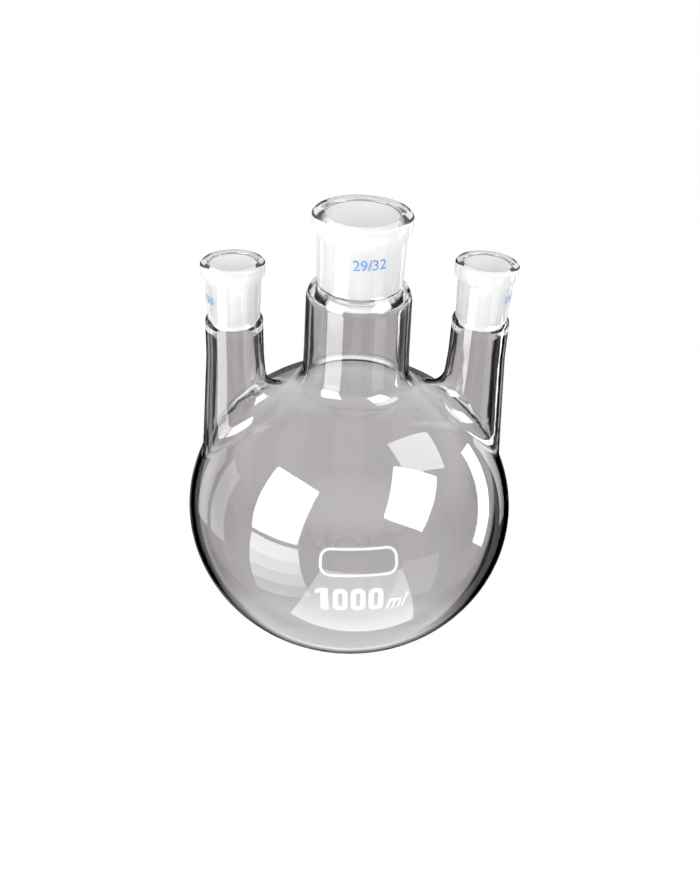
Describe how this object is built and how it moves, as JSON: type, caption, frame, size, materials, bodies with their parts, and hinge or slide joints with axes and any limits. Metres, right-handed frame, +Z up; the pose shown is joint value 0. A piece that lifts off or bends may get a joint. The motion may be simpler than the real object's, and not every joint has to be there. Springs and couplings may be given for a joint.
{
  "type": "three-neck round-bottom flask",
  "caption": "Clear glass boiling flask with a round bulb, a wide centre neck and a narrower neck on each side, each with a frosted ground socket under a rolled lip.",
  "frame": {"origin": "the lowest point of the bulb, under the centre of the centre neck", "axes": "+Z up the centre neck, X through the three necks, -Y towards the printed side"},
  "size_m": [0.131, 0.131, 0.1882],
  "materials": {
    "clear_glass": "clear, fire-polished borosilicate",
    "ground_glass": "frosted by grinding, inside the sockets",
    "white_enamel": "fired enamel print",
    "blue_enamel": "fired enamel print"
  },
  "bodies": {
    "root": {"flask": "clear_glass"}
  },
  "joints": []
}
